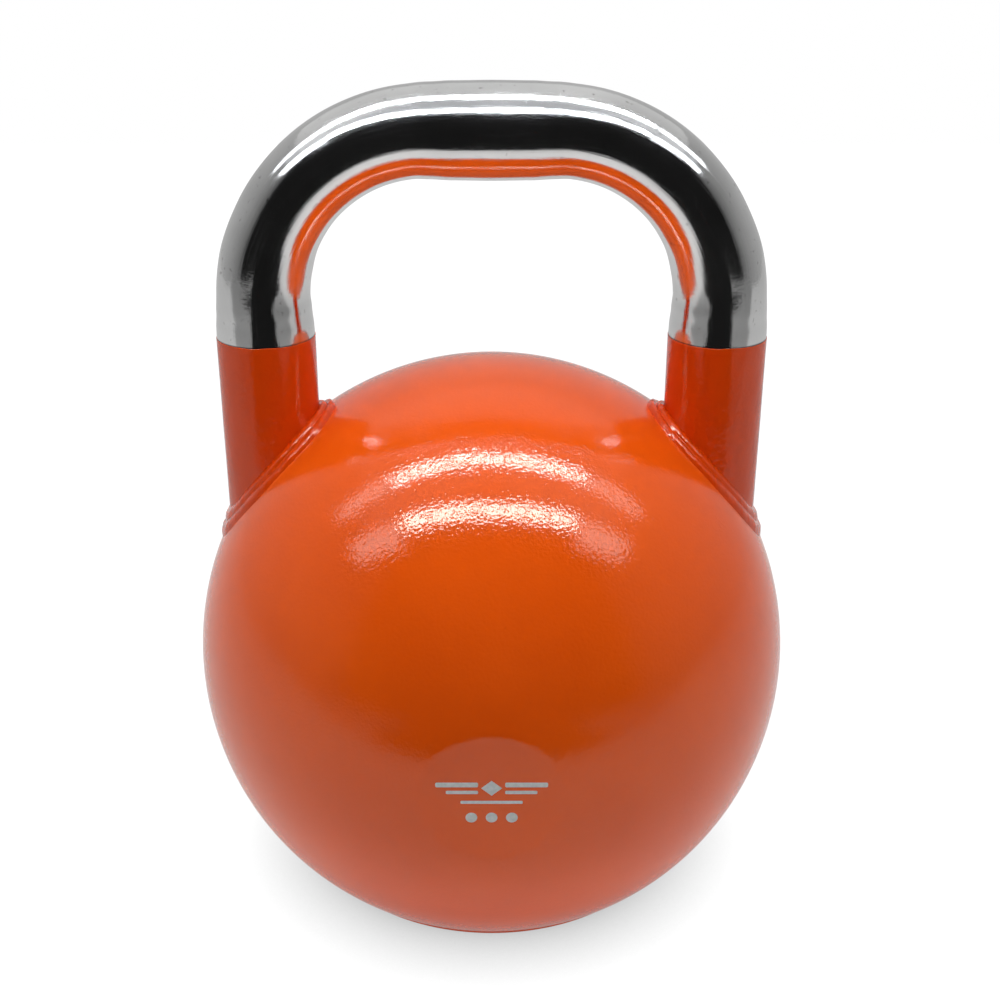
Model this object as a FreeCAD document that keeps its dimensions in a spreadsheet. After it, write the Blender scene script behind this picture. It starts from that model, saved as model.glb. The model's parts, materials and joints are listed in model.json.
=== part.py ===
import FreeCAD, Part
import Sketcher

import math
import os
import re

# Welded steel kettlebell of the competition pattern, in millimetres.
# +Z is up, the handle lies in the XZ plane, the printed flat faces -Y.
# The origin is the centre of the flat base, on the floor.

SIZES = (
    ("centre_height", 81.0, "height of the ball's centre above the base"),
    ("ball_radius", 105.0, "outer radius of the ball"),
    ("wall", 5.0, "thickness of the pressed shells"),
    ("flat_distance", 102.6, "distance of the front and rear flats from the centre"),
    ("flat_cutter", 30.0, "radius of the cutter that faces the flats"),
    ("base_chamfer", 1.5, "chamfer on the outer edge of the base"),
    ("seam_depth", 3.5, "depth of the weld groove on the equator"),
    ("seam_half_width", 2.0, "half of the weld groove's width at the surface"),
    ("backing_half_width", 10.0, "half of the backing ring's width"),
    ("backing_bore", 96.5, "inner radius of the backing ring"),
    ("leg_offset", 76.3, "distance of a handle leg's axis from the centre line"),
    ("leg_radius", 16.65, "radius of the painted legs"),
    ("leg_end_height", 112.0, "height of the leg ends inside the ball"),
    ("paint_height", 196.9, "height where the paint ends on the legs"),
    ("bend_radius", 56.0, "radius of the bar's centre line in the bends"),
    ("bar_height", 264.4, "height of the bar's centre line along the grip"),
    ("grip_half_width", 15.85, "half of the grip's width, front to back"),
    ("bend_start_half", 15.7, "half of the bar's thickness where a bend starts"),
    ("bend_early_half", 15.35, "half of the bar's thickness in a bend's first third"),
    ("bend_late_half", 14.72, "half of the bar's thickness in a bend's second third"),
    ("bend_end_half", 14.75, "half of the bar's thickness where a bend ends"),
    ("grip_half", 15.6, "half of the bar's thickness in the middle of the grip"),
    ("leg_pass_out", 3.2, "how far the weld's leg-side pass stands out from the leg"),
    ("leg_pass_up", 3.6, "how far that pass rises above the ball"),
    ("ball_pass_out", 6.4, "how far the weld's ball-side pass stands out from the leg"),
    ("ball_pass_up", 1.9, "how far that pass rises above the ball"),
    ("inner_weld_out", 4.0, "how far the inner weld stands out from the leg"),
    ("inner_weld_depth", 3.5, "how far the inner weld reaches in from the shell"),
    ("plate_thickness", 8.0, "thickness of the base plate"),
    ("plate_weld_leg", 6.0, "leg of the weld that holds the base plate"),
    ("plug_thread_radius", 13.5, "radius of the vent plug's thread"),
    ("plug_flange_radius", 18.0, "radius of the vent plug's flange"),
    ("plug_recess_radius", 18.5, "radius of the recess for the plug's flange"),
    ("plug_recess_depth", 3.5, "depth of that recess"),
    ("plug_inset", 0.5, "how far the plug stays above the floor"),
    ("plug_length", 8.5, "height of the vent plug's upper end"),
    ("seal_thickness", 1.0, "thickness of the plug's sealing ring"),
    ("seal_bore", 14.2, "inner radius of the sealing ring"),
    ("seal_radius", 17.4, "outer radius of the sealing ring"),
    ("socket_flats", 14.0, "hexagon socket of the plug, across its flats"),
    ("socket_depth", 5.5, "depth of the hexagon socket"),
    ("tube_radius", 22.0, "outer radius of the ballast tube"),
    ("tube_bore", 17.0, "inner radius of the ballast tube"),
    ("tube_weld_leg", 3.0, "leg of the weld at the foot of the ballast tube"),
    ("tube_spare", 3.0, "how far the tube stands out of its ring nut"),
    ("disc_radius", 57.0, "outer radius of a ballast disc"),
    ("disc_bore", 22.3, "bore radius of a ballast disc"),
    ("disc_thickness", 6.4, "thickness of a ballast disc"),
    ("disc_chamfer", 1.0, "chamfer on the edges of a ballast disc"),
    ("washer_radius", 33.0, "outer radius of the ballast washer"),
    ("washer_thickness", 3.0, "thickness of the ballast washer"),
    ("nut_radius", 32.0, "outer radius of the ring nut"),
    ("nut_height", 10.0, "height of the ring nut"),
    ("nut_slot_width", 7.0, "width of a spanner slot in the ring nut"),
    ("nut_slot_depth", 3.5, "depth of a spanner slot in the ring nut"),
)
DISC_COUNT = 3
NUT_SLOTS = 4
SIDES = (("left", -1), ("right", 1))

doc = FreeCAD.newDocument("kettlebell")
sheet = doc.addObject("Spreadsheet::Sheet", "Sizes")
for row, (alias, number, meaning) in enumerate(SIZES, start=1):
    sheet.set(f"A{row}", meaning)
    sheet.set(f"B{row}", str(number))
    sheet.setAlias(f"B{row}", alias)
doc.recompute()

ALIASES = {alias for alias, number, meaning in SIZES}
INNER = "(ball_radius - wall)"
NODES = []


def formula(text):
    """Point every size named in an expression at the spreadsheet."""
    return re.sub(r"[a-z_]+", lambda word: f"Sizes.{word[0]}" if word[0] in ALIASES else word[0], str(text))


def value(text):
    return float(sheet.evalExpression(formula(text)))


def bind(item, prop, text):
    item.setExpression(prop, formula(text))


def sphere_reach(radius, height):
    """Formula for how far a sphere about the ball's centre reaches from the axis at a height."""
    return f"sqrt({radius}^2 - ({height} - centre_height)^2)"


# ---------------------------------------------------------------- sketching

def new_body(name):
    body = doc.addObject("PartDesign::Body", name)
    body.Label = name
    NODES.append(body)
    return body


def new_sketch(body, name, role, offset="0"):
    """Sketch on one of the body's origin planes, moved along its normal."""
    sketch = body.newObject("Sketcher::SketchObject", name)
    plane = next(item for item in body.Origin.OriginFeatures if item.Role == role)
    sketch.AttachmentSupport = [(plane, "")]
    sketch.MapMode = "FlatFace"
    bind(sketch, "AttachmentOffset.Base.z", offset)
    return sketch


def fix_coordinate(sketch, kind, axis, geometry, point, text):
    """Dimension a point from the sketch's origin, or put it on the axis when it lies there."""
    distance = value(text)
    if abs(distance) < 1e-9:
        sketch.addConstraint(Sketcher.Constraint("PointOnObject", geometry, point, axis))
        return
    index = sketch.addConstraint(Sketcher.Constraint(kind, -1, 1, geometry, point, distance))
    bind(sketch, f"Constraints[{index}]", text)


def fix_point(sketch, geometry, point, across, up):
    fix_coordinate(sketch, "DistanceX", -2, geometry, point, across)
    fix_coordinate(sketch, "DistanceY", -1, geometry, point, up)


def add_circle(sketch, across, up, radius):
    centre = FreeCAD.Vector(value(across), value(up), 0)
    circle = sketch.addGeometry(Part.Circle(centre, FreeCAD.Vector(0, 0, 1), value(radius)))
    if abs(centre.x) < 1e-9 and abs(centre.y) < 1e-9:
        sketch.addConstraint(Sketcher.Constraint("Coincident", circle, 3, -1, 1))
    else:
        fix_point(sketch, circle, 3, across, up)
    index = sketch.addConstraint(Sketcher.Constraint("Radius", circle, value(radius)))
    bind(sketch, f"Constraints[{index}]", radius)


def add_outline(sketch, corners, arcs=None):
    """Closed outline through corners given as pairs of formulas.

    arcs maps an edge's number to its radius; such an edge is centred on the ball's centre.
    """
    arcs = arcs or {}
    points = [FreeCAD.Vector(value(across), value(up), 0) for across, up in corners]
    centre = FreeCAD.Vector(0, value("centre_height"), 0)
    ends = []
    for edge, start in enumerate(points):
        finish = points[(edge + 1) % len(points)]
        if edge not in arcs:
            ends.append((sketch.addGeometry(Part.LineSegment(start, finish)), 1, 2))
            continue
        first = math.atan2(start.y - centre.y, start.x - centre.x)
        last = math.atan2(finish.y - centre.y, finish.x - centre.x)
        circle = Part.Circle(centre, FreeCAD.Vector(0, 0, 1), value(arcs[edge]))
        arc = sketch.addGeometry(Part.ArcOfCircle(circle, min(first, last), max(first, last)))
        ends.append((arc, 1, 2) if first < last else (arc, 2, 1))
    for edge, (geometry, start, finish) in enumerate(ends):
        following, next_start = ends[(edge + 1) % len(ends)][:2]
        sketch.addConstraint(Sketcher.Constraint("Coincident", geometry, finish, following, next_start))
    for (geometry, start, finish), (across, up) in zip(ends, corners):
        fix_point(sketch, geometry, start, across, up)
    for edge, radius in arcs.items():
        index = sketch.addConstraint(Sketcher.Constraint("Radius", ends[edge][0], value(radius)))
        bind(sketch, f"Constraints[{index}]", radius)


def revolve(body, corners, arcs=None):
    """Turn an outline, drawn as radius and height, about the vertical axis."""
    sketch = new_sketch(body, f"{body.Name}_profile", "XZ_Plane")
    add_outline(sketch, corners, arcs)
    turned = body.newObject("PartDesign::Revolution", f"{body.Name}_turned")
    turned.Profile = sketch
    turned.ReferenceAxis = (sketch, ["V_Axis"])
    turned.Angle = 360


def pad_ring(body, inner, outer, bottom, height):
    sketch = new_sketch(body, f"{body.Name}_outline", "XY_Plane", bottom)
    add_circle(sketch, "0", "0", outer)
    add_circle(sketch, "0", "0", inner)
    pad = body.newObject("PartDesign::Pad", f"{body.Name}_pad")
    pad.Profile = sketch
    bind(pad, "Length", height)
    return pad


def pocket(body, sketch, reverse, depth=None):
    """Cut a sketch through the body, or to a depth, and make sure that it removed something."""
    doc.recompute()
    before = body.Shape.Volume
    cut = body.newObject("PartDesign::Pocket", f"{sketch.Name}_cut")
    cut.Profile = sketch
    cut.Reversed = reverse
    if depth is None:
        cut.Type = "ThroughAll"
    else:
        bind(cut, "Length", depth)
    doc.recompute()
    if not body.Shape.Volume < before:
        raise RuntimeError(f"{cut.Name} cut nothing")
    return cut


# ---------------------------------------------------------------- the ball

def face_flats(body):
    """Face the front and rear flats across a body of the ball."""
    for name, side, reverse in (("front", 1, True), ("rear", -1, False)):
        sketch = new_sketch(body, f"{body.Name}_{name}_flat", "XZ_Plane", f"{side} * flat_distance")
        add_circle(sketch, "0", "centre_height", "flat_cutter")
        pocket(body, sketch, reverse)


def make_upper_shell():
    body = new_body("upper_shell")
    groove_edge = ("sqrt(ball_radius^2 - seam_half_width^2)", "centre_height + seam_half_width")
    corners = (
        (INNER, "centre_height"),
        ("ball_radius - seam_depth", "centre_height"),
        groove_edge,
        ("0", "centre_height + ball_radius"),
        ("0", f"centre_height + {INNER}"),
    )
    revolve(body, corners, {2: "ball_radius", 4: INNER})
    holes = new_sketch(body, "leg_holes", "XY_Plane")
    for name, side in SIDES:
        add_circle(holes, f"{side} * leg_offset", "0", "leg_radius")
    pocket(body, holes, True)
    face_flats(body)


def make_lower_shell():
    body = new_body("lower_shell")
    groove_edge = ("sqrt(ball_radius^2 - seam_half_width^2)", "centre_height - seam_half_width")
    corners = (
        ("ball_radius - seam_depth", "centre_height"),
        (INNER, "centre_height"),
        (sphere_reach(INNER, "0"), "0"),
        (f"{sphere_reach('ball_radius', '0')} - base_chamfer", "0"),
        (sphere_reach("ball_radius", "base_chamfer"), "base_chamfer"),
        groove_edge,
    )
    revolve(body, corners, {1: INNER, 4: "ball_radius"})
    face_flats(body)


def make_seam_weld():
    """Weld that fills the V groove between the shells, ground flush with the ball."""
    body = new_body("seam_weld")
    reach = "sqrt(ball_radius^2 - seam_half_width^2)"
    corners = (
        ("ball_radius - seam_depth", "centre_height"),
        (reach, "centre_height - seam_half_width"),
        (reach, "centre_height + seam_half_width"),
    )
    revolve(body, corners, {1: "ball_radius"})
    face_flats(body)


def make_backing_ring():
    body = new_body("seam_backing_ring")
    low = "centre_height - backing_half_width"
    high = "centre_height + backing_half_width"
    corners = (
        ("backing_bore", low),
        (sphere_reach(INNER, f"({low})"), low),
        (sphere_reach(INNER, f"({high})"), high),
        ("backing_bore", high),
    )
    revolve(body, corners, {1: INNER})


def make_base_plate():
    body = new_body("base_plate")
    corners = (
        ("plug_recess_radius", "0"),
        (sphere_reach(INNER, "0"), "0"),
        (sphere_reach(INNER, "plate_thickness"), "plate_thickness"),
        ("plug_thread_radius", "plate_thickness"),
        ("plug_thread_radius", "plug_recess_depth"),
        ("plug_recess_radius", "plug_recess_depth"),
    )
    revolve(body, corners, {1: INNER})


def make_base_weld():
    body = new_body("base_weld")
    top = "plate_thickness + plate_weld_leg"
    corners = (
        (f"{sphere_reach(INNER, 'plate_thickness')} - plate_weld_leg", "plate_thickness"),
        (sphere_reach(INNER, "plate_thickness"), "plate_thickness"),
        (sphere_reach(INNER, f"({top})"), top),
    )
    revolve(body, corners, {1: INNER})


# ---------------------------------------------------------------- the handle

def leg_cylinder(name, side, radius, top="bar_height"):
    """Cylinder on a leg's axis, from the leg's lower end up."""
    cylinder = doc.addObject("Part::Cylinder", name)
    bind(cylinder, "Radius", radius)
    bind(cylinder, "Height", f"{top} - leg_end_height")
    bind(cylinder, "Placement.Base.x", f"{side} * leg_offset")
    bind(cylinder, "Placement.Base.z", "leg_end_height")
    return cylinder


BEND_HALVES = (
    (0, "bend_start_half"),
    (30, "bend_early_half"),
    (60, "bend_late_half"),
    (90, "bend_end_half"),
)


def bar_section(name, across, up, turn, half_thickness, half_width):
    """Cross section of the bar, square to a direction turned from +Z towards +X.

    half_thickness lies in the handle's plane and half_width lies along Y.
    """
    section = doc.addObject("Part::Ellipse", name)
    bind(section, "MajorRadius", half_width)
    bind(section, "MinorRadius", half_thickness)
    bind(section, "Placement.Base.x", across)
    bind(section, "Placement.Base.z", up)
    upright = FreeCAD.Rotation(FreeCAD.Vector(0, 0, 1), 90)
    section.Placement.Rotation = FreeCAD.Rotation(FreeCAD.Vector(0, 1, 0), turn) * upright
    return section


def bend_path(name, side):
    """Quarter circle that the bar's centre line follows from a leg to the grip."""
    radius = value("bend_radius")
    centre = FreeCAD.Vector(side * value("leg_offset - bend_radius"), 0, value("bar_height - bend_radius"))
    points = []
    for turn in (0, math.pi / 4, math.pi / 2):
        direction = FreeCAD.Vector(side * math.cos(turn), 0, math.sin(turn))
        points.append(centre + direction * radius)
    path = doc.addObject("Part::Feature", f"{name}_bend_path")
    path.Shape = Part.Arc(*points).toShape()
    return path


def skin(kind, name, sections):
    piece = doc.addObject(kind, name)
    piece.Sections = sections
    piece.Solid = True
    return piece


def make_handle_side(name, side):
    """Leg, taper above the paint and bend on one side, and the section where the bend ends."""
    across = f"{side} * leg_offset"
    bends = []
    for turn, half in BEND_HALVES:
        bend_across = f"{side} * (leg_offset - bend_radius * (1 - cos({turn} deg)))"
        bend_up = f"bar_height - bend_radius * (1 - sin({turn} deg))"
        section_name = f"{name}_bend_section_{turn}"
        bends.append(bar_section(section_name, bend_across, bend_up, -side * turn, half, "grip_half_width"))
    bend = skin("Part::Sweep", f"{name}_bend", bends)
    bend.Spine = (bend_path(name, side), ["Edge1"])
    paint_end = bar_section(f"{name}_paint_end", across, "paint_height", 0, "leg_radius", "leg_radius")
    taper = skin("Part::Loft", f"{name}_taper", [paint_end, bends[0]])
    leg = leg_cylinder(f"{name}_leg", side, "leg_radius", "paint_height")
    return [leg, taper, bend], bends[-1]


def make_handle_bar():
    """One bent round bar: full size on the legs, ground and polished along the grip."""
    left, left_end = make_handle_side("left", -1)
    right, right_end = make_handle_side("right", 1)
    middle = bar_section("grip_middle", "0", "bar_height", 90, "grip_half", "grip_half_width")
    grip = skin("Part::Loft", "grip", [left_end, middle, right_end])
    bar = doc.addObject("Part::MultiFuse", "handle_bar")
    bar.Shapes = left + [grip] + right
    NODES.append(bar)


# ---------------------------------------------------------------- the handle's welds

def ball_sphere(name, radius):
    sphere = doc.addObject("Part::Sphere", name)
    bind(sphere, "Radius", radius)
    bind(sphere, "Placement.Base.z", "centre_height")
    return sphere


def combine(kind, name, base, tool):
    result = doc.addObject(kind, name)
    result.Base = base
    result.Tool = tool
    return result


def make_leg_weld(name, side, reaches, spheres):
    """Ring of weld round a leg, between two distances from the leg and two spheres about the ball."""
    near = leg_cylinder(f"{name}_near", side, reaches[0])
    far = leg_cylinder(f"{name}_far", side, reaches[1])
    low = ball_sphere(f"{name}_low", spheres[0])
    high = ball_sphere(f"{name}_high", spheres[1])
    block = combine("Part::Common", f"{name}_block", far, high)
    opened = combine("Part::Cut", f"{name}_opened", block, near)
    NODES.append(combine("Part::Cut", name, opened, low))


def make_leg_welds(name, side):
    """Two passes outside and one inside, where a leg goes through the upper shell."""
    leg_pass = "leg_radius + leg_pass_out"
    make_leg_weld(f"{name}_weld_leg_pass", side, ("leg_radius", leg_pass),
                  ("ball_radius", "ball_radius + leg_pass_up"))
    make_leg_weld(f"{name}_weld_ball_pass", side, (leg_pass, "leg_radius + ball_pass_out"),
                  ("ball_radius", "ball_radius + ball_pass_up"))
    make_leg_weld(f"{name}_inner_weld", side, ("leg_radius", "leg_radius + inner_weld_out"),
                  (f"{INNER} - inner_weld_depth", INNER))


# ---------------------------------------------------------------- vent plug

def make_vent_plug():
    body = new_body("vent_plug")
    flange_top = "plug_recess_depth - seal_thickness"
    corners = (
        ("0", "plug_inset"),
        ("plug_flange_radius", "plug_inset"),
        ("plug_flange_radius", flange_top),
        ("plug_thread_radius", flange_top),
        ("plug_thread_radius", "plug_length"),
        ("0", "plug_length"),
    )
    revolve(body, corners)
    socket = new_sketch(body, "plug_socket", "XY_Plane", "plug_inset")
    corner = "socket_flats / (2 * cos(30 deg))"
    turns = range(0, 360, 60)
    add_outline(socket, [(f"{corner} * cos({turn} deg)", f"{corner} * sin({turn} deg)") for turn in turns])
    pocket(body, socket, True, "socket_depth")


def make_plug_seal():
    pad_ring(new_body("plug_seal"), "seal_bore", "seal_radius", "plug_recess_depth - seal_thickness",
             "seal_thickness")


# ---------------------------------------------------------------- ballast

STACK_TOP = f"plate_thickness + {DISC_COUNT} * disc_thickness"


def make_ballast_tube():
    height = f"{DISC_COUNT} * disc_thickness + washer_thickness + nut_height + tube_spare"
    pad_ring(new_body("ballast_tube"), "tube_bore", "tube_radius", "plate_thickness", height)


def make_tube_weld():
    body = new_body("ballast_tube_weld")
    corners = (
        ("tube_bore - tube_weld_leg", "plate_thickness"),
        ("tube_bore", "plate_thickness"),
        ("tube_bore", "plate_thickness + tube_weld_leg"),
    )
    revolve(body, corners)


def make_ballast_disc(number):
    body = new_body(f"ballast_disc_{number}")
    low = f"plate_thickness + {number - 1} * disc_thickness"
    high = f"plate_thickness + {number} * disc_thickness"
    corners = (
        ("disc_bore", low),
        ("disc_radius - disc_chamfer", low),
        ("disc_radius", f"{low} + disc_chamfer"),
        ("disc_radius", f"{high} - disc_chamfer"),
        ("disc_radius - disc_chamfer", high),
        ("disc_bore", high),
    )
    revolve(body, corners)


def make_ballast_washer():
    pad_ring(new_body("ballast_washer"), "disc_bore", "washer_radius", STACK_TOP, "washer_thickness")


def make_ballast_nut():
    """Round nut with spanner slots in its rim."""
    body = new_body("ballast_ring_nut")
    bottom = f"{STACK_TOP} + washer_thickness"
    pad_ring(body, "tube_radius", "nut_radius", bottom, "nut_height")
    slot = new_sketch(body, "nut_slot", "XY_Plane", bottom)
    half = "nut_slot_width / 2"
    corners = (
        ("nut_radius - nut_slot_depth", f"-{half}"),
        ("nut_radius + nut_slot_depth", f"-{half}"),
        ("nut_radius + nut_slot_depth", half),
        ("nut_radius - nut_slot_depth", half),
    )
    add_outline(slot, corners)
    first = pocket(body, slot, True)
    slots = body.newObject("PartDesign::PolarPattern", "nut_slots")
    slots.Originals = [first]
    slots.Axis = (slot, ["N_Axis"])
    slots.Angle = 360
    slots.Occurrences = NUT_SLOTS
    body.Tip = slots


# ---------------------------------------------------------------- build and write

make_upper_shell()
make_lower_shell()
make_seam_weld()
make_backing_ring()
make_base_plate()
make_base_weld()
make_handle_bar()
for side_name, side_sign in SIDES:
    make_leg_welds(side_name, side_sign)
make_vent_plug()
make_plug_seal()
make_ballast_tube()
make_tube_weld()
for disc_number in range(1, DISC_COUNT + 1):
    make_ballast_disc(disc_number)
make_ballast_washer()
make_ballast_nut()
doc.recompute()

for item in doc.Objects:
    if {"Invalid", "Error"} & set(item.State):
        raise RuntimeError(f"{item.Name} did not build: {item.State}")
for node in NODES:
    if node.Shape.isNull() or not node.Shape.isValid() or not node.Shape.Solids:
        raise RuntimeError(f"{node.Label} has no valid solid")

os.makedirs("parts", exist_ok=True)
for node in NODES:
    node.Shape.exportStep(f"parts/{node.Label}.step")
    box = node.Shape.BoundBox
    grams = node.Shape.Volume * 7.85e-3
    heights = f"z {box.ZMin:.2f} to {box.ZMax:.2f}"
    print(f"{node.Label:24s} solids {len(node.Shape.Solids)} {grams:8.1f} g  {heights}")
print(f"{len(NODES)} nodes, {sum(node.Shape.Volume for node in NODES) * 7.85e-6:.3f} kg")
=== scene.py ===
import json
import math

import bmesh
import bpy
from mathutils import Matrix, Vector, noise


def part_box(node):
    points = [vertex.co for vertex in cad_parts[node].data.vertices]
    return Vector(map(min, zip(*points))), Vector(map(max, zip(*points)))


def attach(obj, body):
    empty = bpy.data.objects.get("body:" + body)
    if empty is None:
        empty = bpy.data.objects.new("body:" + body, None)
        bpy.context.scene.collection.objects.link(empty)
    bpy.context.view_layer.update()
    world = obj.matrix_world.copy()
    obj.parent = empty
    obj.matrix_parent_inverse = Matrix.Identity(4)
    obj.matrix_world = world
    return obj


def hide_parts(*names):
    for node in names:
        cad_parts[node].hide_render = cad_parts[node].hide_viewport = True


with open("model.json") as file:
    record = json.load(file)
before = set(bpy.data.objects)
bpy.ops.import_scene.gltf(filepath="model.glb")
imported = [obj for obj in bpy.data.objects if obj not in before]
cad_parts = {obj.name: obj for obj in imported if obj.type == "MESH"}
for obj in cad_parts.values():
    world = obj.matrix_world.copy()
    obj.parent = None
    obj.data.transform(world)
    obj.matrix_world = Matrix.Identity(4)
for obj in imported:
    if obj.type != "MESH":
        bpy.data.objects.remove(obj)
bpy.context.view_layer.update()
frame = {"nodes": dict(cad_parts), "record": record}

# Looks of the welded kettlebell, in metres.
# +Z is up, the handle lies in the XZ plane, and the printed flat faces -Y.

MM = 0.001

UPPER_LOW, UPPER_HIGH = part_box("upper_shell")
HANDLE_LOW, HANDLE_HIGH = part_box("handle_bar")
LEG_WELD_LOW, LEG_WELD_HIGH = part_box("right_weld_leg_pass")
MOUNTS = {mount["name"]: mount for mount in frame["record"]["mounts"]}

CENTRE_Z = UPPER_LOW.z
BALL_R = (UPPER_HIGH.x - UPPER_LOW.x) / 2
FLAT_Y = UPPER_HIGH.y
LEG_X = (LEG_WELD_LOW.x + LEG_WELD_HIGH.x) / 2
LEG_R = (HANDLE_HIGH.y - HANDLE_LOW.y) / 2
LEG_END = HANDLE_LOW.z
BAR_Z = MOUNTS["grip"]["pos_m"][2]
BEND_R = 56 * MM
PAINT_Z = 196.9 * MM
WALL = 5 * MM
SIDES = (("left", -1), ("right", 1))


# ---------------------------------------------------------------- helpers

def new_object(name, mesh):
    piece = bpy.data.objects.new(name, mesh)
    bpy.context.scene.collection.objects.link(piece)
    return piece


def smooth_mesh(name, points, faces):
    mesh = bpy.data.meshes.new(name)
    mesh.from_pydata([tuple(point) for point in points], [], faces)
    mesh.validate()
    mesh.shade_smooth()
    return mesh


def finish_piece(piece, material, nodes=()):
    """Give a piece its material and its body, and hide the CAD nodes that it stands for."""
    piece.data.materials.clear()
    piece.data.materials.append(material)
    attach(piece, "root")
    if nodes:
        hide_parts(*nodes)
    return piece


def eased(stations, place):
    """Value at a place along (place, value) stations, eased from each one to the next."""
    if place <= stations[0][0]:
        return stations[0][1]
    for (start, first), (end, last) in zip(stations, stations[1:]):
        if place <= end:
            share = (place - start) / (end - start)
            return first + (last - first) * share * share * (3 - 2 * share)
    return stations[-1][1]


def ring_faces(rings, size, closed=False):
    """Quads between rings of points that follow each other; closed joins the last ring to the first."""
    faces = []
    pairs = rings if closed else rings - 1
    for ring in range(pairs):
        following = (ring + 1) % rings
        for step in range(size):
            beside = (step + 1) % size
            faces.append((ring * size + step, ring * size + beside,
                          following * size + beside, following * size + step))
    return faces


def turned_outwards(mesh):
    """Make every face of a closed mesh look out of it."""
    work = bmesh.new()
    work.from_mesh(mesh)
    bmesh.ops.recalc_face_normals(work, faces=work.faces)
    work.to_mesh(mesh)
    work.free()
    return mesh


# ---------------------------------------------------------------- node materials

class Nodes:
    """Adds nodes to one node tree and links them."""

    def __init__(self, tree):
        self.tree = tree

    def add(self, kind, **settings):
        node = self.tree.nodes.new(kind)
        for key, setting in settings.items():
            setattr(node, key, setting)
        return node

    def link(self, source, target):
        self.tree.links.new(source, target)

    def scaled(self, source, scale):
        mapping = self.add("ShaderNodeMapping")
        mapping.inputs["Scale"].default_value = scale
        self.link(source, mapping.inputs["Vector"])
        return mapping.outputs["Vector"]

    def place(self, scale=(1, 1, 1)):
        return self.scaled(self.add("ShaderNodeTexCoord").outputs["Object"], scale)

    def bar_place(self, scale):
        """Place on the bar as if it were straight: along it, then across it twice."""
        straight = self.add("ShaderNodeAttribute", attribute_name="bar_place")
        return self.scaled(straight.outputs["Vector"], scale)

    def noise(self, place, scale, detail=2.0, roughness=0.5):
        texture = self.add("ShaderNodeTexNoise")
        texture.inputs["Scale"].default_value = scale
        texture.inputs["Detail"].default_value = detail
        texture.inputs["Roughness"].default_value = roughness
        self.link(place, texture.inputs["Vector"])
        return texture.outputs["Fac"]

    def ramp(self, source, low, high, first, last):
        mapped = self.add("ShaderNodeMapRange")
        for socket, setting in zip(mapped.inputs[1:5], (low, high, first, last)):
            socket.default_value = setting
        self.link(source, mapped.inputs["Value"])
        return mapped.outputs["Result"]

    def mix(self, factor, first, last):
        mixed = self.add("ShaderNodeMix", data_type="RGBA")
        for socket, colour in ((mixed.inputs[6], first), (mixed.inputs[7], last)):
            if isinstance(colour, tuple):
                socket.default_value = (*colour, 1)
            else:
                self.link(colour, socket)
        self.link(factor, mixed.inputs[0])
        return mixed.outputs[2]

    def maths(self, operation, first, last):
        node = self.add("ShaderNodeMath", operation=operation)
        for socket, item in zip(node.inputs, (first, last)):
            if isinstance(item, (int, float)):
                socket.default_value = item
            else:
                self.link(item, socket)
        return node.outputs[0]

    def bump(self, height, strength, distance, normal=None):
        node = self.add("ShaderNodeBump")
        node.inputs["Strength"].default_value = strength
        node.inputs["Distance"].default_value = distance
        self.link(height, node.inputs["Height"])
        if normal:
            self.link(normal, node.inputs["Normal"])
        return node.outputs["Normal"]


class Shader(Nodes):
    """A new material and its main shader."""

    def __init__(self, name):
        self.material = bpy.data.materials.new(name)
        self.material.use_nodes = True
        super().__init__(self.material.node_tree)
        self.bsdf = self.tree.nodes["Principled BSDF"]

    def set(self, **sockets):
        """Set or link the shader's sockets; a name's underscores stand for spaces."""
        for name, item in sockets.items():
            socket = self.bsdf.inputs[name.replace("_", " ")]
            if isinstance(item, (int, float)):
                socket.default_value = item
            else:
                self.link(item, socket)


def make_orange_coat(name, peel, waves, light, dark):
    """Glossy powder coat with faint mottling, orange peel, small waves and a few dust specks."""
    shader = Shader(name)
    place = shader.place()
    mottle = shader.ramp(shader.noise(place, 22.0, 3.0), 0.35, 0.65, 0.0, 1.0)
    base = shader.mix(mottle, dark, light)
    dust = shader.ramp(shader.noise(place, 900.0, 2.0), 0.74, 0.80, 0.0, 0.3)
    gloss = shader.noise(place, 60.0, 4.0)
    fine = shader.noise(place, 1000.0, 1.5)
    coarse = shader.noise(place, 170.0, 2.0)
    wavy = shader.bump(coarse, waves, 0.0006)
    colour = shader.mix(dust, base, (0.55, 0.05, 0.004))
    shader.bsdf.inputs["Specular Tint"].default_value = (1.0, 0.95, 0.80, 1)
    shader.set(Base_Color=colour, IOR=1.5,
               Roughness=shader.ramp(gloss, 0.3, 0.7, 0.03, 0.06),
               Normal=shader.bump(fine, peel, 0.0003, wavy))
    return shader.material


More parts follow.
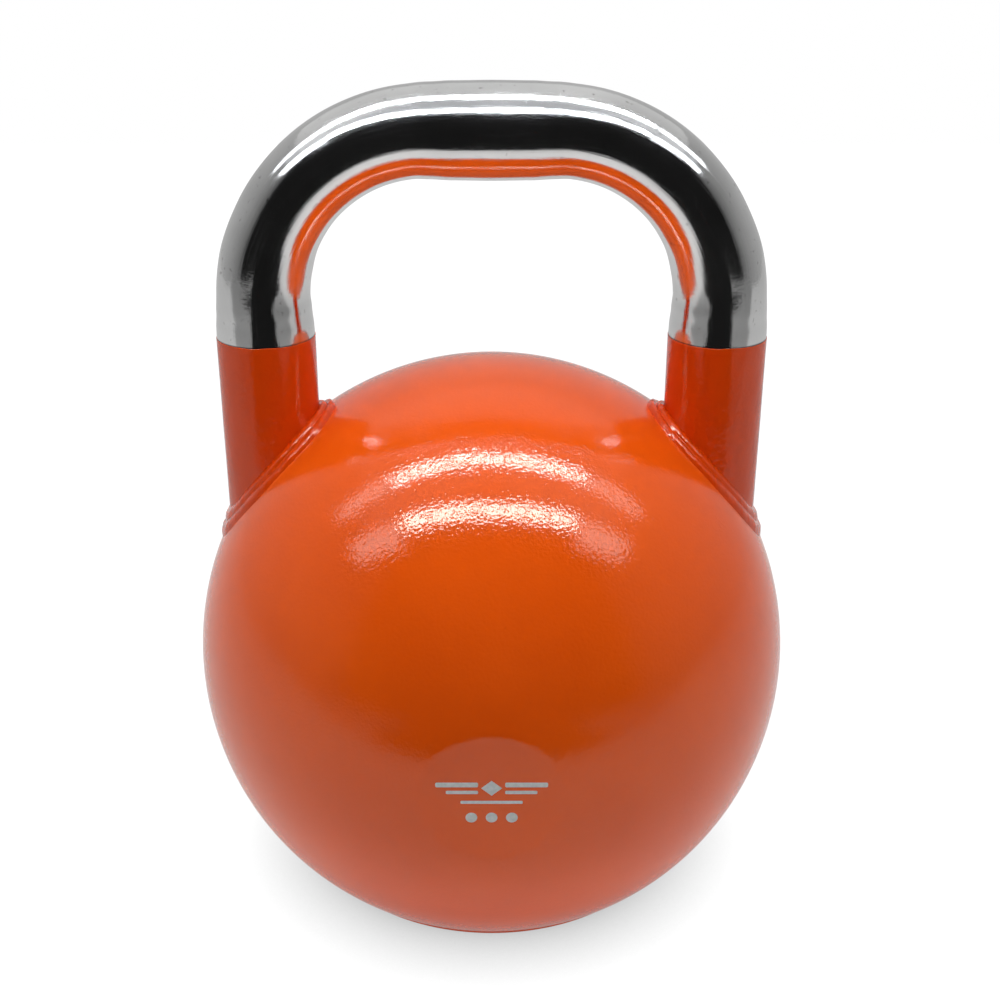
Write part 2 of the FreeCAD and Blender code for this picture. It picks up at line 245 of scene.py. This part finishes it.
def make_polished_steel():
    """Bare bar: fine scratches along it, small pits, cloudy patches, and a dark line at the paint."""
    shader = Shader("polished_steel")
    place = shader.place()
    clouds = shader.ramp(shader.noise(place, 45.0, 4.0), 0.3, 0.7, 0.0, 1.0)
    tint = shader.mix(clouds, (0.64, 0.64, 0.635), (0.75, 0.75, 0.745))
    pits = shader.ramp(shader.noise(place, 520.0, 3.0), 0.66, 0.74, 0.0, 0.6)
    scratches = shader.noise(shader.bar_place((50.0, 1500.0, 1500.0)), 1.0, 3.0, 0.6)
    marks = shader.noise(shader.bar_place((900.0, 140.0, 140.0)), 1.0, 2.0)
    height = shader.add("ShaderNodeSeparateXYZ")
    shader.link(place, height.inputs[0])
    edge = shader.ramp(height.outputs[2], PAINT_Z + 0.2 * MM, PAINT_Z + 0.55 * MM, 0.85, 0.0)
    steel = shader.mix(pits, tint, (0.30, 0.29, 0.28))
    rough = shader.maths("ADD", shader.ramp(clouds, 0.0, 1.0, 0.08, 0.12),
                         shader.ramp(scratches, 0.55, 0.8, 0.0, 0.12))
    lines = shader.bump(scratches, 0.20, 0.00012)
    worn = shader.bump(marks, 0.06, 0.0001, lines)
    dents = shader.bump(shader.noise(place, 120.0, 2.0), 0.05, 0.0006, worn)
    grains = shader.bump(shader.noise(place, 900.0, 2.0), 0.10, 0.0001, dents)
    shader.set(Base_Color=shader.mix(edge, steel, (0.05, 0.04, 0.035)), Metallic=1.0,
               Roughness=rough, Normal=grains)
    return shader.material


def make_plain_steel(name, light, dark, low, high):
    """Unpolished steel inside the ball and on the plug: patches, stains and fine scratches."""
    shader = Shader(name)
    patches = shader.ramp(shader.noise(shader.place(), 35.0, 5.0), 0.3, 0.7, 0.0, 1.0)
    grain = shader.noise(shader.place((1.0, 1.0, 14.0)), 300.0, 3.0)
    shader.set(Base_Color=shader.mix(patches, dark, light), Metallic=1.0,
               Roughness=shader.ramp(patches, 0.0, 1.0, low, high), Normal=shader.bump(grain, 0.15, 0.0002))
    return shader.material


def make_seal_rubber():
    shader = Shader("seal_rubber")
    bloom = shader.ramp(shader.noise(shader.place(), 90.0, 4.0), 0.35, 0.7, 0.0, 1.0)
    grain = shader.noise(shader.place(), 1500.0, 2.0)
    shader.set(Base_Color=shader.mix(bloom, (0.018, 0.018, 0.018), (0.05, 0.05, 0.048)),
               Roughness=shader.ramp(bloom, 0.0, 1.0, 0.55, 0.8), Normal=shader.bump(grain, 0.2, 0.0001))
    return shader.material


def make_marking_ink():
    """Pad-printed light grey ink, slightly uneven."""
    shader = Shader("marking_ink")
    cover = shader.noise(shader.place(), 700.0, 3.0)
    share = shader.ramp(cover, 0.35, 0.7, 0.0, 1.0)
    shader.set(Base_Color=shader.mix(share, (0.62, 0.66, 0.655), (0.75, 0.79, 0.785)),
               Roughness=shader.ramp(share, 0.0, 1.0, 0.35, 0.5), Normal=shader.bump(cover, 0.15, 0.00005))
    return shader.material


BALL_ORANGE = ((0.90, 0.107, 0.0050), (0.85, 0.095, 0.0036))
# The legs and welds wear the same orange powder coat as the ball; their copy of it is painted darker, as
# painted shade for upright sides that get less light from above.
LEG_ORANGE_PAINTED_SHADE = ((0.71, 0.060, 0.0024), (0.66, 0.052, 0.0018))
COAT = make_orange_coat("orange_coat", 0.25, 0.03, *BALL_ORANGE)
LEG_COAT_PAINTED_SHADE = make_orange_coat("orange_coat_legs_painted_shade", 0.30, 0.36, *LEG_ORANGE_PAINTED_SHADE)
STEEL = make_polished_steel()
PLAIN = make_plain_steel("plain_steel", (0.44, 0.43, 0.42), (0.20, 0.19, 0.19), 0.35, 0.6)
PLUG = make_plain_steel("plug_steel", (0.62, 0.62, 0.61), (0.42, 0.42, 0.41), 0.22, 0.4)
RUBBER = make_seal_rubber()
INK = make_marking_ink()


# ---------------------------------------------------------------- the ball

BALL_ROWS = 104
BALL_SEGMENTS = 208
FLAT_RINGS = 6
EDGE_ROWS = 6
FLAT_EDGE = 1.4 * MM
INK_DEPTH = 0.03 * MM
FACE_Y = FLAT_Y - INK_DEPTH
FLAT_R = math.sqrt(BALL_R**2 - FACE_Y**2)
EDGE_TURN = math.asin((FLAT_R + FLAT_EDGE) / BALL_R)
SEAM_HALF = 2 * MM
SEAM_DEPTH = 3.5 * MM
BASE_CHAMFER = 1.5 * MM
PLATE_R = math.sqrt((BALL_R - WALL)**2 - CENTRE_Z**2)


def half_profile():
    """Rows from a flat's middle to the widest ring: distance from the Y axis, and to the front."""
    inner = FLAT_R - FLAT_EDGE
    outer = Vector((BALL_R * math.sin(EDGE_TURN), BALL_R * math.cos(EDGE_TURN)))
    run = (FACE_Y - outer.y) / math.sin(EDGE_TURN)
    corner = Vector((outer.x - run * math.cos(EDGE_TURN), FACE_Y))
    start = Vector((inner, FACE_Y))
    rows = [Vector((inner * ring / FLAT_RINGS, FACE_Y)) for ring in range(FLAT_RINGS)]
    for row in range(EDGE_ROWS):
        share = row / EDGE_ROWS
        rows.append(start * (1 - share)**2 + corner * 2 * share * (1 - share) + outer * share**2)
    for row in range(BALL_ROWS // 2 + 1):
        turn = EDGE_TURN + (math.pi / 2 - EDGE_TURN) * row * 2 / BALL_ROWS
        rows.append(Vector((BALL_R * math.sin(turn), BALL_R * math.cos(turn))))
    return rows


def ball_normal(point):
    """Outer normal of the ball at a point about its centre, with the soft edges of its flats."""
    radial = math.hypot(point.x, point.z)
    outer = BALL_R * math.sin(EDGE_TURN)
    if radial >= outer or abs(point.y) < FACE_Y * 0.9:
        return point.normalized()
    share = max(0.0, (radial - FLAT_R + FLAT_EDGE) / (outer - FLAT_R + FLAT_EDGE))
    turn = EDGE_TURN * share
    side = math.copysign(math.cos(turn), point.y)
    around = math.sin(turn) / max(radial, 1e-9)
    return Vector((point.x * around, side, point.z * around))


def whole_ball():
    """Skin of the ball about its own centre, with its poles in the middle of the two flats."""
    half = half_profile()
    rows = half + [Vector((row.x, -row.y)) for row in half[-2::-1]]
    ball = bmesh.new()
    rings = []
    for row in rows:
        count = 1 if row.x < 1e-9 else BALL_SEGMENTS
        ring = []
        for step in range(count):
            turn = 2 * math.pi * step / BALL_SEGMENTS
            ring.append(ball.verts.new((row.x * math.cos(turn), -row.y, row.x * math.sin(turn))))
        rings.append(ring)
    for first, last in zip(rings, rings[1:]):
        for step in range(BALL_SEGMENTS):
            beside = (step + 1) % BALL_SEGMENTS
            corners = [first[step % len(first)], first[beside % len(first)],
                       last[beside % len(last)], last[step % len(last)]]
            ball.faces.new(list(dict.fromkeys(corners)))
    bmesh.ops.recalc_face_normals(ball, faces=ball.faces)
    return ball


def cut_ball(low, high):
    """Skin of the ball between two heights about its centre; None leaves that side whole."""
    ball = whole_ball()
    for height, above in ((low, True), (high, False)):
        if height is not None:
            bmesh.ops.bisect_plane(ball, geom=ball.verts[:] + ball.edges[:] + ball.faces[:], dist=1e-7,
                                   plane_co=(0, 0, height), plane_no=(0, 0, 1),
                                   clear_inner=above, clear_outer=not above)
    return ball


def close_wall(ball, depth, rim_height=None, rim_steps=()):
    """Give a cut skin its inner side and close its rims.

    The rim at rim_height gets the rings in rim_steps on the way, as (radius, height).
    """
    skin = ball.verts[:]
    faces = ball.faces[:]
    rims = [edge for edge in ball.edges if edge.is_boundary]
    inner = {vert: ball.verts.new(vert.co * (1 - depth / BALL_R)) for vert in skin}
    chains = {}
    for vert in {vert for edge in rims for vert in edge.verts}:
        chain = [vert]
        if rim_height is not None and abs(vert.co.z - rim_height) < 1e-6:
            flat = Vector((vert.co.x, vert.co.y, 0)).normalized()
            for radius, height in rim_steps:
                chain.append(ball.verts.new((flat.x * radius, flat.y * radius, height)))
        chains[vert] = chain + [inner[vert]]
    for face in faces:
        ball.faces.new([inner[vert] for vert in reversed(face.verts)])
    for edge in rims:
        first, last = [chains[vert] for vert in edge.verts]
        for start in range(len(first) - 1):
            ball.faces.new((first[start], last[start], last[start + 1], first[start + 1]))
    bmesh.ops.recalc_face_normals(ball, faces=ball.faces)


def make_ball_piece(name, low, high, depth, rim_height=None, rim_steps=()):
    """One closed piece of the ball, with the ball's exact normals on its outside."""
    ball = cut_ball(low, high)
    close_wall(ball, depth, rim_height, rim_steps)
    mesh = bpy.data.meshes.new(name)
    ball.to_mesh(mesh)
    ball.free()
    mesh.shade_smooth()
    lowest = -CENTRE_Z if rim_height is None else rim_height - 1e-6
    normals = []
    for vertex in mesh.vertices:
        on_skin = vertex.co.length > FACE_Y - 0.2 * MM and vertex.co.z >= lowest
        normals.append(tuple(ball_normal(vertex.co) if on_skin else vertex.normal))
    mesh.normals_split_custom_set_from_vertices(normals)
    mesh.transform(Matrix.Translation((0, 0, CENTRE_Z)))
    piece = new_object(f"{name}_look", mesh)
    return finish_piece(piece, COAT, [name])


def base_rim_steps():
    """Rings of the base's rounded edge, its flat foot and the inside of the plate's seat."""
    foot = -CENTRE_Z
    edge = math.sqrt(BALL_R**2 - (CENTRE_Z - BASE_CHAMFER)**2)
    steps = []
    for step in range(1, 7):
        turn = math.pi / 2 * step / 6
        radius = edge - BASE_CHAMFER * 1.2 * (1 - math.cos(turn))
        steps.append((radius, foot + BASE_CHAMFER * (1 - math.sin(turn))))
    seat = PLATE_R + 0.15 * MM
    steps += [(steps[-1][0] - 0.3 * MM, foot), (seat + 0.9 * MM, foot), (seat + 0.6 * MM, foot)]
    steps += [(seat + 0.2 * MM, foot + 0.1 * MM), (seat, foot + 0.45 * MM)]
    steps.append((seat + 0.2 * MM, foot + 1.0 * MM))
    return steps


def make_ball():
    base_cut = BASE_CHAMFER - CENTRE_Z
    make_ball_piece("upper_shell", SEAM_HALF, None, WALL)
    make_ball_piece("seam_weld", -SEAM_HALF, SEAM_HALF, SEAM_DEPTH)
    make_ball_piece("lower_shell", base_cut, -SEAM_HALF, WALL, base_cut, base_rim_steps())


# ---------------------------------------------------------------- the handle

BAR_AROUND = 96
BAR_STEP = 1.5 * MM
BEND_START = LEG_X - BEND_R
BEND_LENGTH = BEND_R * math.pi / 2
LEG_TOP = BAR_Z - BEND_R
BAR_HALF = BEND_START + BEND_LENGTH + LEG_TOP - LEG_END
PAINT_ALONG = BEND_START + BEND_LENGTH + LEG_TOP - PAINT_Z
PAINT_THICKNESS = 0.13 * MM

# Half of the bar's thickness in the plane of the handle, by the distance from the middle of the grip.
THICKNESS = [(place * MM, half * MM) for place, half in (
    (0, 15.6), (13, 15.45), (20, 15.1), (27, 14.75), (45, 14.64), (66, 14.65), (80, 14.85),
    (96, 15.45), (105, 15.55), (111, 15.95), (117, 16.4), (121, 16.52))]
# Half of its width, front to back.
WIDTH = [(place * MM, half * MM) for place, half in ((60, 15.85), (100, 15.95), (112, 16.3), (121, 16.52))]


def bar_centre(along):
    """Point and direction of the bar's centre line, at a signed distance from the grip's middle."""
    side = math.copysign(1, along)
    along = abs(along)
    if along <= BEND_START:
        return Vector((side * along, 0, BAR_Z)), Vector((1, 0, 0))
    turn = min((along - BEND_START) / BEND_R, math.pi / 2)
    down = max(0.0, along - BEND_START - BEND_LENGTH)
    x = BEND_START + BEND_R * math.sin(turn)
    z = BAR_Z - BEND_R * (1 - math.cos(turn)) - down
    return Vector((side * x, 0, z)), Vector((math.cos(turn), 0, -side * math.sin(turn)))


def bar_ring(along, thick, wide):
    """Ring of points round the bar, and the same places on the straightened bar."""
    centre, direction = bar_centre(along)
    out = direction.cross(Vector((0, -1, 0)))
    ring = []
    straight = []
    for step in range(BAR_AROUND):
        turn = 2 * math.pi * step / BAR_AROUND
        up, front = thick * math.cos(turn), wide * math.sin(turn)
        ring.append(centre + out * up + Vector((0, front, 0)))
        straight.append((along, up, front))
    return ring, straight


def make_handle_bar():
    """The whole bent bar, from one leg's end inside the ball to the other."""
    count = 2 * round(BAR_HALF / BAR_STEP)
    points = []
    straight = []
    for station in range(count + 1):
        along = BAR_HALF * (2 * station / count - 1)
        ring, flat = bar_ring(along, eased(THICKNESS, abs(along)), eased(WIDTH, abs(along)))
        points += ring
        straight += flat
    faces = ring_faces(count + 1, BAR_AROUND)
    last = len(points) - BAR_AROUND
    faces.append(tuple(range(BAR_AROUND)))
    faces.append(tuple(range(last, last + BAR_AROUND)))
    mesh = turned_outwards(smooth_mesh("handle_bar", points, faces))
    places = mesh.attributes.new("bar_place", "FLOAT_VECTOR", "POINT")
    places.data.foreach_set("vector", [value for place in straight for value in place])
    return finish_piece(new_object("handle_bar_look", mesh), STEEL, ["handle_bar"])


def paint_edge(side, turn):
    """Height of the slightly ragged paint line round a leg."""
    where = Vector((math.cos(turn), math.sin(turn), side * 3.0))
    return PAINT_Z + 0.22 * MM * noise.noise(where * 2.3) + 0.10 * MM * noise.noise(where * 9.0)


def make_leg_coat(name, side):
    """Coat of paint on a leg: a thin closed sleeve with a rounded lip."""
    inner = LEG_R - PAINT_THICKNESS - 0.05 * MM
    low = CENTRE_Z + 40 * MM
    lip = PAINT_THICKNESS
    sections = [(LEG_R, None, low + (PAINT_Z - low) * step / 40) for step in range(40)]
    sections += [(LEG_R, lip * 3, 0), (LEG_R, lip, 0), (LEG_R - lip * 0.12, lip * 0.5, 0)]
    sections += [(LEG_R - lip * 0.4, lip * 0.15, 0), (LEG_R - lip * 0.8, 0, 0)]
    sections += [(inner, 0, 0), (inner, None, low)]
    points = []
    for radius, below, height in sections:
        for step in range(BAR_AROUND):
            turn = 2 * math.pi * step / BAR_AROUND
            where = Vector((math.cos(turn), math.sin(turn), height * 18 + side * 7)) * 1.6
            bumps = 0.12 * MM * noise.noise(where)
            reach = radius - abs(bumps) * (height > low) * (radius == LEG_R)
            top = height if below is None else paint_edge(side, turn) - below
            points.append((side * LEG_X + reach * math.cos(turn), reach * math.sin(turn), top))
    faces = ring_faces(len(sections), BAR_AROUND, closed=True)
    mesh = turned_outwards(smooth_mesh(name, points, faces))
    # The sleeve takes the darker leg coat, whose darkness is painted shade.
    return finish_piece(new_object(name, mesh), LEG_COAT_PAINTED_SHADE, ())


# ---------------------------------------------------------------- weld beads round the legs

BEAD_AROUND = 480
BEAD_POINTS = 13
LEG_TOE = 3.8 * MM
BALL_TOE = 6.5 * MM
RIPPLE_LENGTH = 1.8 * MM


def bead_frame(side, turn):
    """Corner of leg and ball at an angle, the way out along the ball, and the way off the leg."""
    radial = Vector((math.cos(turn), math.sin(turn), 0))
    corner = Vector((side * LEG_X, 0, 0)) + radial * LEG_R
    corner.z = math.sqrt(BALL_R**2 - corner.x**2 - corner.y**2)
    normal = corner.normalized()
    along = (radial - normal * radial.dot(normal)).normalized()
    return corner, along, radial


def bead_lift(side, turn, share, crest, seed):
    """How far a pass stands above the line between its toes; share runs from 0 to 1 across the pass."""
    inner = math.cos(turn) * -side
    where = Vector((math.cos(turn) * 3, math.sin(turn) * 3, seed))
    lump = 1 + 0.30 * noise.noise(where) + 0.22 * noise.noise(where * 3.1)
    start = 0.75 * math.exp(-((1 - inner) / 0.10)**2) * (0.7 + 0.5 * noise.noise(where * 5))
    shape = math.sin(math.pi * share)**1.25
    length = turn * LEG_R * 1.15
    bow = 0.7 * (share - 0.5)**2
    phase = length / RIPPLE_LENGTH + bow + 0.5 * noise.noise(where * 2)
    ripple = 0.035 * MM * math.sin(2 * math.pi * phase)
    return crest * (lump + start) * shape + ripple * shape


def make_bead(name, side, first, last, crest, seed):
    """One pass of the fillet weld round a leg, as a closed ring; first and last are shares of its width."""
    points = []
    for step in range(BEAD_AROUND):
        turn = 2 * math.pi * step / BEAD_AROUND
        corner, along, radial = bead_frame(side, turn)
        wander = noise.noise(Vector((math.cos(turn) * 2, math.sin(turn) * 2, seed + 11.0)))
        leg_toe = corner + Vector((0, 0, LEG_TOE + 0.5 * MM * wander))
        ball_toe = corner + along * (BALL_TOE + 0.6 * MM * wander)
        ball_toe *= BALL_R / ball_toe.length
        across = ball_toe - leg_toe
        out = (along + Vector((0, 0, 1))).normalized()
        out = (out - across * out.dot(across) / across.length_squared).normalized()
        if out.dot(corner - (leg_toe + ball_toe) / 2) > 0:
            out = -out
        for point in range(BEAD_POINTS):
            share = point / (BEAD_POINTS - 1)
            place = leg_toe + across * (first + (last - first) * share)
            points.append(place + out * bead_lift(side, turn, share, crest, seed))
        points.append(leg_toe + across * last - out * 1.2 * MM - radial * 0.5 * MM)
        points.append(leg_toe + across * first - out * 1.2 * MM - radial * 0.5 * MM)
    mesh = turned_outwards(smooth_mesh(name, points, ring_faces(BEAD_AROUND, BEAD_POINTS + 2, closed=True)))
    mesh.transform(Matrix.Translation((0, 0, CENTRE_Z)))
    # The weld takes the darker leg coat, whose darkness is painted shade.
    return finish_piece(new_object(f"{name}_look", mesh), LEG_COAT_PAINTED_SHADE, [name])


def make_handle():
    make_handle_bar()
    for name, side in SIDES:
        make_leg_coat(f"{name}_leg_coat", side)
        make_bead(f"{name}_weld_leg_pass", side, -0.04, 0.56, 0.95 * MM, 2.0 + side)
        make_bead(f"{name}_weld_ball_pass", side, 0.40, 1.06, 1.05 * MM, 7.0 + side)


# ---------------------------------------------------------------- the printed mark on the front flat

def rounded_bar(middle, width, height, radius):
    """Outline of a bar with round corners, in X and Z."""
    outline = []
    for across, up, start in ((1, 1, 0), (-1, 1, 1), (-1, -1, 2), (1, -1, 3)):
        for step in range(7):
            turn = math.pi / 2 * (start + step / 6)
            x = middle[0] + across * (width / 2 - radius) + radius * math.cos(turn)
            z = middle[1] + up * (height / 2 - radius) + radius * math.sin(turn)
            outline.append((x, z))
    return outline


def diamond(middle, width, height):
    x, z = middle
    return [(x + width / 2, z), (x, z + height / 2), (x - width / 2, z), (x, z - height / 2)]


def make_marking():
    """Plain geometric print: a diamond between two bars, a thin line and three dots."""
    shapes = [diamond((0, 4.1 * MM), 6.4 * MM, 5.4 * MM)]
    for side in (-1, 1):
        shapes.append(rounded_bar((side * 10.6 * MM, 5.3 * MM), 13 * MM, 1.7 * MM, 0.5 * MM))
        shapes.append(rounded_bar((side * 9.0 * MM, 2.6 * MM), 9.8 * MM, 1.2 * MM, 0.4 * MM))
    shapes.append(rounded_bar((0, -1.0 * MM), 19 * MM, 1.1 * MM, 0.4 * MM))
    for dot in (-1, 0, 1):
        shapes.append(rounded_bar((dot * 6.2 * MM, -6.6 * MM), 3.6 * MM, 3.6 * MM, 1.8 * MM - 1e-6))
    points = []
    faces = []
    for outline in shapes:
        start = len(points)
        size = len(outline)
        points += [(x, -FLAT_Y, CENTRE_Z + z) for x, z in outline]
        points += [(x, -FLAT_Y + 0.1 * MM, CENTRE_Z + z) for x, z in outline]
        faces.append(tuple(range(start, start + size)))
        faces.append(tuple(range(start + 2 * size - 1, start + size - 1, -1)))
        faces += [tuple(start + corner for corner in face) for face in ring_faces(2, size)]
    mesh = smooth_mesh("front_mark", points, faces)
    mesh.shade_flat()
    return finish_piece(new_object("front_mark", turned_outwards(mesh)), INK)


# ---------------------------------------------------------------- the CAD pieces that stay

def dress_cad_nodes():
    """Better materials for the nodes whose shape stays as it is."""
    looks = {"orange_coat": COAT, "plain_steel": PLAIN, "plug_steel": PLUG, "seal_rubber": RUBBER,
             "polished_steel": STEEL}
    slots = {part["node"]: part["material_slot"] for part in frame["record"]["subparts"]}
    for name, node in frame["nodes"].items():
        for material_slot in node.material_slots:
            material_slot.material = looks[slots[name]]


# ---------------------------------------------------------------- studio

def make_floor():
    """Plain pale floor, open towards the camera's stand: the camera sees it as an even glow with a painted
    soft shadow, darkened by ambient occlusion under the object.
    """
    front, notch, stand, back, side = -1.0, -0.37, 0.32, 1.6, 1.8
    outline = [(-side, front), (-stand * 1.5, front), (-stand, notch), (stand, notch), (stand * 1.5, front),
               (side, front), (side, back), (-side, back)]
    mesh = bpy.data.meshes.new("floor")
    mesh.from_pydata([(x, y, 0) for x, y in outline], [], [tuple(range(len(outline)))])
    floor = new_object("floor", mesh)
    shader = Shader("floor")
    shader.set(Roughness=0.9)
    shader.bsdf.inputs["Specular IOR Level"].default_value = 0.0
    shader.bsdf.inputs["Base Color"].default_value = (0.6, 0.6, 0.6, 1)
    shader.bsdf.inputs["Emission Color"].default_value = (1, 1, 1, 1)
    depth = shader.add("ShaderNodeSeparateXYZ")
    shader.link(shader.place(), depth.inputs[0])
    glow = shader.ramp(depth.outputs[1], notch, notch + 0.08, 0.01, 0.31)
    shader.link(glow, shader.bsdf.inputs["Emission Strength"])
    open_sky = shader.add("ShaderNodeAmbientOcclusion", samples=16)
    open_sky.inputs["Distance"].default_value = 0.5
    grain = shader.ramp(shader.noise(shader.place(), 6.0, 3.0), 0.3, 0.7, 0.99, 1.01)
    # Painted shadow: the glow that the camera sees dims where ambient occlusion finds the object close by.
    shade = shader.ramp(open_sky.outputs["AO"], 0.10, 0.60, 0.50, 1.1)
    seen = shader.add("ShaderNodeEmission")
    shader.link(shader.maths("MULTIPLY", shade, grain), seen.inputs["Strength"])
    either = shader.add("ShaderNodeMixShader")
    shader.link(shader.add("ShaderNodeLightPath").outputs["Is Camera Ray"], either.inputs[0])
    shader.link(shader.bsdf.outputs[0], either.inputs[1])
    shader.link(seen.outputs[0], either.inputs[2])
    shader.link(either.outputs[0], shader.tree.nodes["Material Output"].inputs["Surface"])
    floor.data.materials.append(shader.material)


def add_panel(name, low, high, height, radiance, mirrored=True, spread=True):
    """Light in the tent's roof between two corners in X and Y, facing down.

    mirrored lights are seen in glossy surfaces, and spread ones light what is under them.
    """
    light = bpy.data.lights.new(name, "AREA")
    light.shape = "RECTANGLE"
    light.size = high[0] - low[0]
    light.size_y = high[1] - low[1]
    light.energy = radiance * light.size * light.size_y
    light.color = (1, 1, 1) if spread else COOL_WHITE
    panel = bpy.data.objects.new(name, light)
    panel.location = ((low[0] + high[0]) / 2, (low[1] + high[1]) / 2, height)
    bpy.context.scene.collection.objects.link(panel)
    panel.visible_camera = False
    panel.visible_glossy = mirrored
    panel.visible_diffuse = spread


def make_world():
    """White walls behind and beside the object, and darkness round the camera."""
    world = bpy.data.worlds.new("studio")
    world.use_nodes = True
    bpy.context.scene.world = world
    sky = Nodes(world.node_tree)
    background = sky.tree.nodes["Background"]
    direction = sky.add("ShaderNodeSeparateXYZ")
    sky.link(sky.add("ShaderNodeTexCoord").outputs["Generated"], direction.inputs[0])
    x, y, z = direction.outputs
    squares = sky.maths("ADD", sky.maths("MULTIPLY", x, x), sky.maths("MULTIPLY", y, y))
    flat = sky.maths("SQRT", squares, 0.0)
    facing = sky.maths("DIVIDE", y, flat)
    share = sky.ramp(facing, -0.6, 1.0, 0.0, 1.0)
    wall = sky.maths("ADD", sky.maths("MULTIPLY", sky.maths("POWER", share, 0.45), 0.51), 0.010)
    rays = sky.add("ShaderNodeLightPath")
    strength = sky.add("ShaderNodeMix", data_type="FLOAT")
    sky.link(rays.outputs["Is Camera Ray"], strength.inputs[0])
    spread = sky.ramp(rays.outputs["Is Diffuse Ray"], 0.0, 1.0, 1.0, 1.35)
    sky.link(sky.maths("MULTIPLY", wall, spread), strength.inputs[2])
    strength.inputs[3].default_value = 1.0
    background.inputs["Color"].default_value = (1, 1, 1, 1)
    sky.link(strength.outputs[0], background.inputs["Strength"])


TENT_HEIGHT = 0.48
STRIP_HEIGHT = TENT_HEIGHT - 0.01
COOL_WHITE = (0.97, 1.0, 1.06)
WING_RADIANCE = 11


def make_studio():
    """Light tent: a pale roof, two bright strips with dimmer wings for the reflections, and soft keys."""
    make_floor()
    make_world()
    add_panel("roof", (-0.32, -0.205), (0.32, 0.35), TENT_HEIGHT, 0.72)
    add_panel("roof_middle", (-0.38, -0.135), (0.38, 0.0), TENT_HEIGHT - 0.005, 1.1, spread=False)
    for name, low, high, radiance in (("back", -0.015, 0.007, 95), ("front", -0.159, -0.125, 78)):
        add_panel(f"strip_{name}", (-0.222, low), (0.205, high), STRIP_HEIGHT, radiance, spread=False)
    for name, low, high in (("back", -0.025, 0.017), ("front", -0.215, -0.125)):
        for wing, start, end in (("left", -0.44, -0.237), ("right", 0.220, 0.42)):
            add_panel(f"{name}_{wing}_wing", (start, low), (end, high), STRIP_HEIGHT, WING_RADIANCE,
                      spread=False)
    add_panel("key", (-0.25, -0.22), (0.25, -0.10), STRIP_HEIGHT, 20, mirrored=False)
    add_panel("key_back", (-0.25, -0.02), (0.25, 0.01), STRIP_HEIGHT, 20, mirrored=False)
    add_panel("far_fill", (-0.30, -0.55), (0.30, -0.15), 1.2, 8, mirrored=False)


CAMERA_PLACE = (0, -0.4596, 0.3348)
CAMERA_LOOKS_DOWN = 23.4


def make_camera():
    """Camera in front of the kettlebell, a little above the handle and looking down on it."""
    camera = bpy.data.cameras.new("camera")
    camera.lens = 50.7
    camera.sensor_width = 36
    camera.shift_x = 0.0084
    camera.clip_start = 0.01
    holder = bpy.data.objects.new("camera", camera)
    holder.location = CAMERA_PLACE
    holder.rotation_euler = (math.radians(90 - CAMERA_LOOKS_DOWN), 0, 0)
    bpy.context.scene.collection.objects.link(holder)
    bpy.context.scene.camera = holder


bpy.context.scene.view_settings.view_transform = "Standard"
make_camera()
make_studio()
dress_cad_nodes()
make_ball()
make_handle()
make_marking()

bpy.context.view_layer.update()
